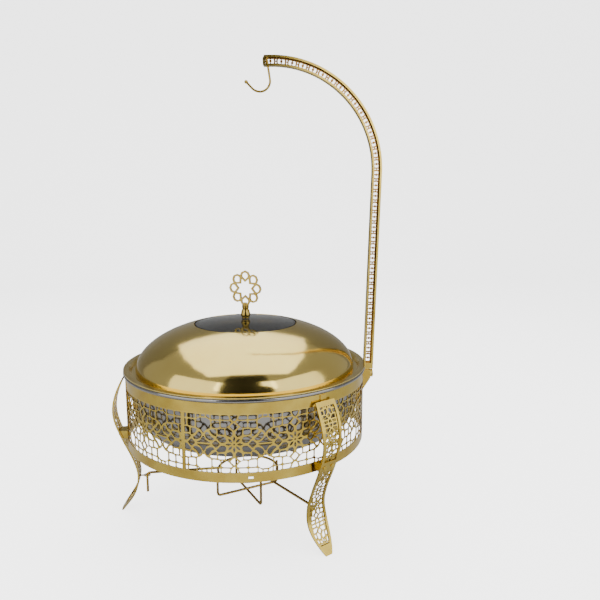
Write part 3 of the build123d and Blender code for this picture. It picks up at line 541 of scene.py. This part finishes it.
def make_arm_strip():
    """The cut strip between the rails, from the foot to the end cap."""
    near, far = OUTER_RAIL, ARM_WIDTH - INNER_RAIL
    half, centre = (far - near) / 2, (far + near) / 2
    arch = (ARCH_R - centre) * ARCH_SWEEP
    straight = ARM_STRAIGHT - STRIP_START
    length = straight + arch + STRIP_END_RUN
    count = round(length / CELL_PITCH)
    places = [((i + 0.5) * length / count, 0) for i in range(count)]
    border = [(0, -half), (length, -half), (length, half), (0, half)]
    flat = cut_flat(border, repeated(arm_cells(half), places))

    def bent(s, w, face):
        inset = centre - w
        if s < straight:
            x, z = -inset, STRIP_START + s
        else:
            turn = min((s - straight) / (ARCH_R - centre), ARCH_SWEEP)
            run = max(s - straight - arch, 0)
            x = (ARCH_R - inset) * cos(turn) - ARCH_R - run * sin(turn)
            z = ARM_STRAIGHT + (ARCH_R - inset) * sin(turn) + run * cos(turn)
        leaned = (ARM_BASE + x * cos(ARM_LEAN) + z * sin(ARM_LEAN),
                  openwork_high / MM + z * cos(ARM_LEAN) - x * sin(ARM_LEAN))
        return (leaned[0] * MM, STRIP_THICK * MM * (face - 0.5), leaned[1] * MM)

    return formed_sheet("arm_scrollwork", flat, bent)


strip_gold = plated_metal("strip_gold", (0.44, 0.25, 0.07, 1), (0.24, 0.11, 0.03, 1), (0.66, 0.46, 0.16, 1),
                          Gloss=0.2, Cloud_size=90.0, Clouding=0.9)
stand_in("arm_scrollwork", make_arm_strip(), strip_gold, "arm", "plated_gold", "arm_fretwork")

# ---------------------------------------------------------------- hook
# A bent wire with a small ball on its end, pressed into the arm's cap. The lid hangs from it by
# the rosette on its knob.

finish_nodes(knob_gold, "lid_hook", "hook_ball")

# ---------------------------------------------------------------- socket and thumbscrew
# A tapered pocket of plated steel on a flange, screwed to the wide strip of the ring. The arm
# drops in and a fluted thumbscrew clamps it.

finish_nodes(stand_gold, "arm_socket")
finish_nodes(knob_gold, "clamp_thumbscrew")

# ---------------------------------------------------------------- floor, lights and camera
# A pale seamless floor that sweeps up behind the object, a large soft light overhead, two at the
# front corners with a narrow one inside each, and cards that show only in the polished metal.

# The floor and the air are brighter seen straight on than in the gold, so it keeps its colour.
FLOOR_TONES, FLOOR_GLOW = (0.5, 0.9), (0.0, 3.0)
AIR_STRENGTH = (0.45, 3.2)
SWEEP_HALF = 5.0
SWEEP_BACK = 3.0
SWEEP_BEND = 1.2
SWEEP_TOP = 4.5


def make_sweep():
    """Floor and back wall in one sheet with a round bend between them."""
    section = [(-4.0, 0.0)]
    section += [(SWEEP_BACK + SWEEP_BEND * sin(t), SWEEP_BEND * (1 - cos(t)))
                for t in (radians(6 * i) for i in range(16))]
    section.append((SWEEP_BACK + SWEEP_BEND, SWEEP_TOP))
    points = [(x, y, z) for y, z in section for x in (-SWEEP_HALF, SWEEP_HALF)]
    faces = [(2 * i, 2 * i + 1, 2 * i + 3, 2 * i + 2) for i in range(len(section) - 1)]
    mesh = bpy.data.meshes.new("studio_sweep")
    mesh.from_pydata(points, [], faces)
    mesh.shade_smooth()
    paper, tree, reflected = new_finish("sweep_paper")
    shaders = [reflected, tree.nodes.new("ShaderNodeBsdfPrincipled")]
    for shader, tone, glow in zip(shaders, FLOOR_TONES, FLOOR_GLOW):
        shader.inputs["Base Color"].default_value = (tone, tone, tone, 1)
        shader.inputs["Roughness"].default_value = 0.8
        shader.inputs["Emission Color"].default_value = (1, 1, 1, 1)
        shader.inputs["Emission Strength"].default_value = glow
    seen = tree.nodes.new("ShaderNodeLightPath").outputs["Is Camera Ray"]
    mix = tree.nodes.new("ShaderNodeMixShader")
    tree.links.new(seen, mix.inputs[0])
    for i, shader in enumerate(shaders):
        tree.links.new(shader.outputs["BSDF"], mix.inputs[1 + i])
    tree.links.new(mix.outputs["Shader"], tree.nodes["Material Output"].inputs["Surface"])
    mesh.materials.append(paper)
    sweep = bpy.data.objects.new("studio_sweep", mesh)
    bpy.context.scene.collection.objects.link(sweep)


def make_card(name, centre, normal, width, height, tone):
    """Matt card that shows only in reflections."""
    mesh = bpy.data.meshes.new(name)
    corners = [(-width / 2, -height / 2, 0), (width / 2, -height / 2, 0), (width / 2, height / 2, 0),
               (-width / 2, height / 2, 0)]
    mesh.from_pydata(corners, [], [(0, 1, 2, 3)])
    board, _, shader = new_finish(name)
    shader.inputs["Base Color"].default_value = (tone, tone, tone, 1)
    shader.inputs["Roughness"].default_value = 1.0
    mesh.materials.append(board)
    card = bpy.data.objects.new(name, mesh)
    card.location = centre
    card.rotation_mode = "QUATERNION"
    card.rotation_quaternion = Vector(normal).to_track_quat("Z", "Y")
    card.visible_camera = card.visible_diffuse = card.visible_shadow = False
    bpy.context.scene.collection.objects.link(card)


def make_soft_light(name, centre, target, width, height, power):
    """Rectangular light turned to a target."""
    lamp = bpy.data.lights.new(name, "AREA")
    lamp.shape = "RECTANGLE"
    lamp.size, lamp.size_y, lamp.energy = width, height, power
    light = bpy.data.objects.new(name, lamp)
    light.location = centre
    light.rotation_mode = "QUATERNION"
    light.rotation_quaternion = (Vector(target) - Vector(centre)).to_track_quat("-Z", "Y")
    light.visible_camera = False
    bpy.context.scene.collection.objects.link(light)


make_sweep()
DISH = (0, 0, 0.25)
make_soft_light("overhead_light", (0, 0.55, 1.9), (0, 0.55, 0), 2.3, 2.9, 46)
make_soft_light("left_light", (-1.35, -1.05, 0.75), DISH, 2.1, 1.5, 18)
make_soft_light("right_light", (1.25, -1.15, 0.75), DISH, 2.1, 1.5, 18)
make_card("front_card", (-0.10, -1.35, 1.45), (0, 1, 0), 1.3, 2.9, 0.005)
make_soft_light("right_strip_light", (0.46, -1.30, 0.92), (0.12, 0, 0.45), 0.34, 0.7, 2.0)
make_soft_light("left_strip_light", (-0.80, -1.28, 0.90), (-0.1, 0, 0.25), 0.10, 0.8, 0.8)
make_card("left_card", (-1.55, -1.2, 0.85), (1.35, 1.05, -0.5), 2.5, 1.8, 0.01)
make_card("right_card", (1.42, -1.3, 0.85), (-1.25, 1.15, -0.5), 2.5, 1.8, 0.01)
make_card("floor_card", (0, -1.6, 0.002), (0, 0, 1), 5.0, 2.5, 0.7)

world = bpy.data.worlds.new("studio_air")
world.use_nodes = True
air = world.node_tree
backgrounds = [air.nodes["Background"], air.nodes.new("ShaderNodeBackground")]
for background, strength in zip(backgrounds, AIR_STRENGTH):
    background.inputs["Color"].default_value = (0.9, 0.9, 0.9, 1)
    background.inputs["Strength"].default_value = strength
air_mix = air.nodes.new("ShaderNodeMixShader")
air.links.new(air.nodes.new("ShaderNodeLightPath").outputs["Is Camera Ray"], air_mix.inputs[0])
for i, background in enumerate(backgrounds):
    air.links.new(background.outputs["Background"], air_mix.inputs[1 + i])
air.links.new(air_mix.outputs["Shader"], air.nodes["World Output"].inputs["Surface"])
bpy.context.scene.world = world

CAMERA_AT = Vector((-0.0493, -0.8800, 0.4686))
CAMERA_HEADING = Vector((0.15368, 0.98812, 0))
CAMERA_DIP = radians(8.6)
lens = bpy.data.cameras.new("front_camera")
lens.lens = 33.6
camera = bpy.data.objects.new("front_camera", lens)
camera.location = CAMERA_AT
aim = CAMERA_HEADING.normalized() * cos(CAMERA_DIP) - Vector((0, 0, sin(CAMERA_DIP)))
camera.rotation_mode = "QUATERNION"
camera.rotation_quaternion = aim.to_track_quat("-Z", "Y")
bpy.context.scene.collection.objects.link(camera)
bpy.context.scene.camera = camera
